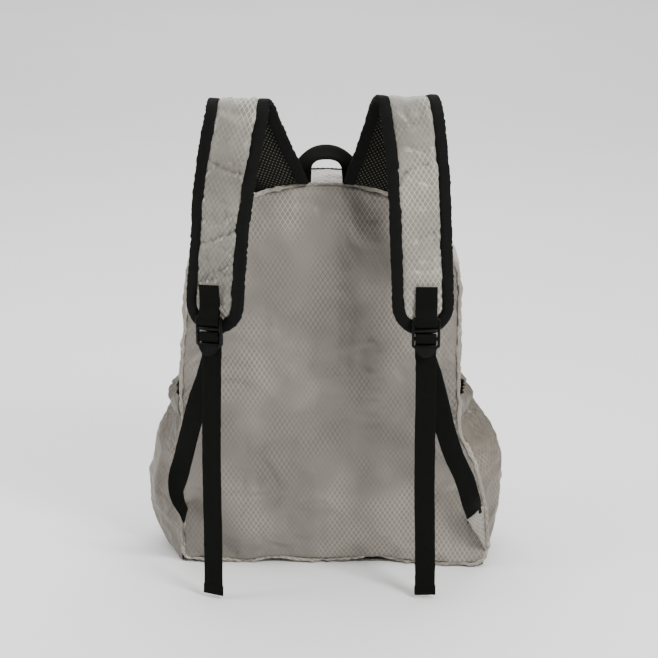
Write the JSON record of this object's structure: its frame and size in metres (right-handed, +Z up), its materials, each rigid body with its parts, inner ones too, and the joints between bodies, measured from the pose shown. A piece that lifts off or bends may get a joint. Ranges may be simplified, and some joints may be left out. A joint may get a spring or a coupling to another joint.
{
  "type": "packable backpack",
  "caption": "Light foldable daypack of thin ripstop cloth, standing on its base, with padded shoulder straps, ladder lock adjusters, side pockets, top zip and a carry loop.",
  "frame": {"origin": "middle of the underside of the base", "axes": "+Z up, +X to the right of a viewer who faces the back panel, +Y from the back panel with the shoulder straps to the front panel"},
  "size_m": [0.3815, 0.2667, 0.5092],
  "materials": {
    "shell_cloth": "thin grey-beige ripstop with a fine diamond grid",
    "strap_cloth": "the same ripstop over thin padding",
    "spacer_mesh": "black air mesh with fine pale dots",
    "webbing": "matt black woven tape",
    "elastic": "the same ripstop, gathered as a channel over hidden elastic",
    "zip_tape": "black tape with a coil down its middle",
    "buckle_plastic": "moulded black plastic with a soft shine"
  },
  "bodies": {
    "root": {"back_panel": "shell_cloth", "front_panel": "shell_cloth", "base_panel": "shell_cloth", "side_gusset_left": "shell_cloth", "side_gusset_right": "shell_cloth", "top_gusset_rear": "shell_cloth", "top_gusset_front": "shell_cloth", "seam_welt_back": "shell_cloth", "seam_welt_front": "shell_cloth", "side_pocket_left": "shell_cloth", "side_pocket_right": "shell_cloth", "webbing_anchor_left": "shell_cloth", "webbing_anchor_right": "shell_cloth", "strap_pad_left": "strap_cloth", "strap_pad_right": "strap_cloth", "strap_mesh_left": "spacer_mesh", "strap_mesh_right": "spacer_mesh", "main_zip": "zip_tape", "zip_slider": "buckle_plastic", "ladder_lock_left": "buckle_plastic", "ladder_lock_right": "buckle_plastic", "pocket_elastic_left": "elastic", "pocket_elastic_right": "elastic", "strap_binding_left": "webbing", "strap_binding_right": "webbing", "buckle_keeper_left": "webbing", "buckle_keeper_right": "webbing", "adjuster_webbing_left": "webbing", "adjuster_webbing_right": "webbing", "carry_handle": "webbing"}
  },
  "joints": []
}
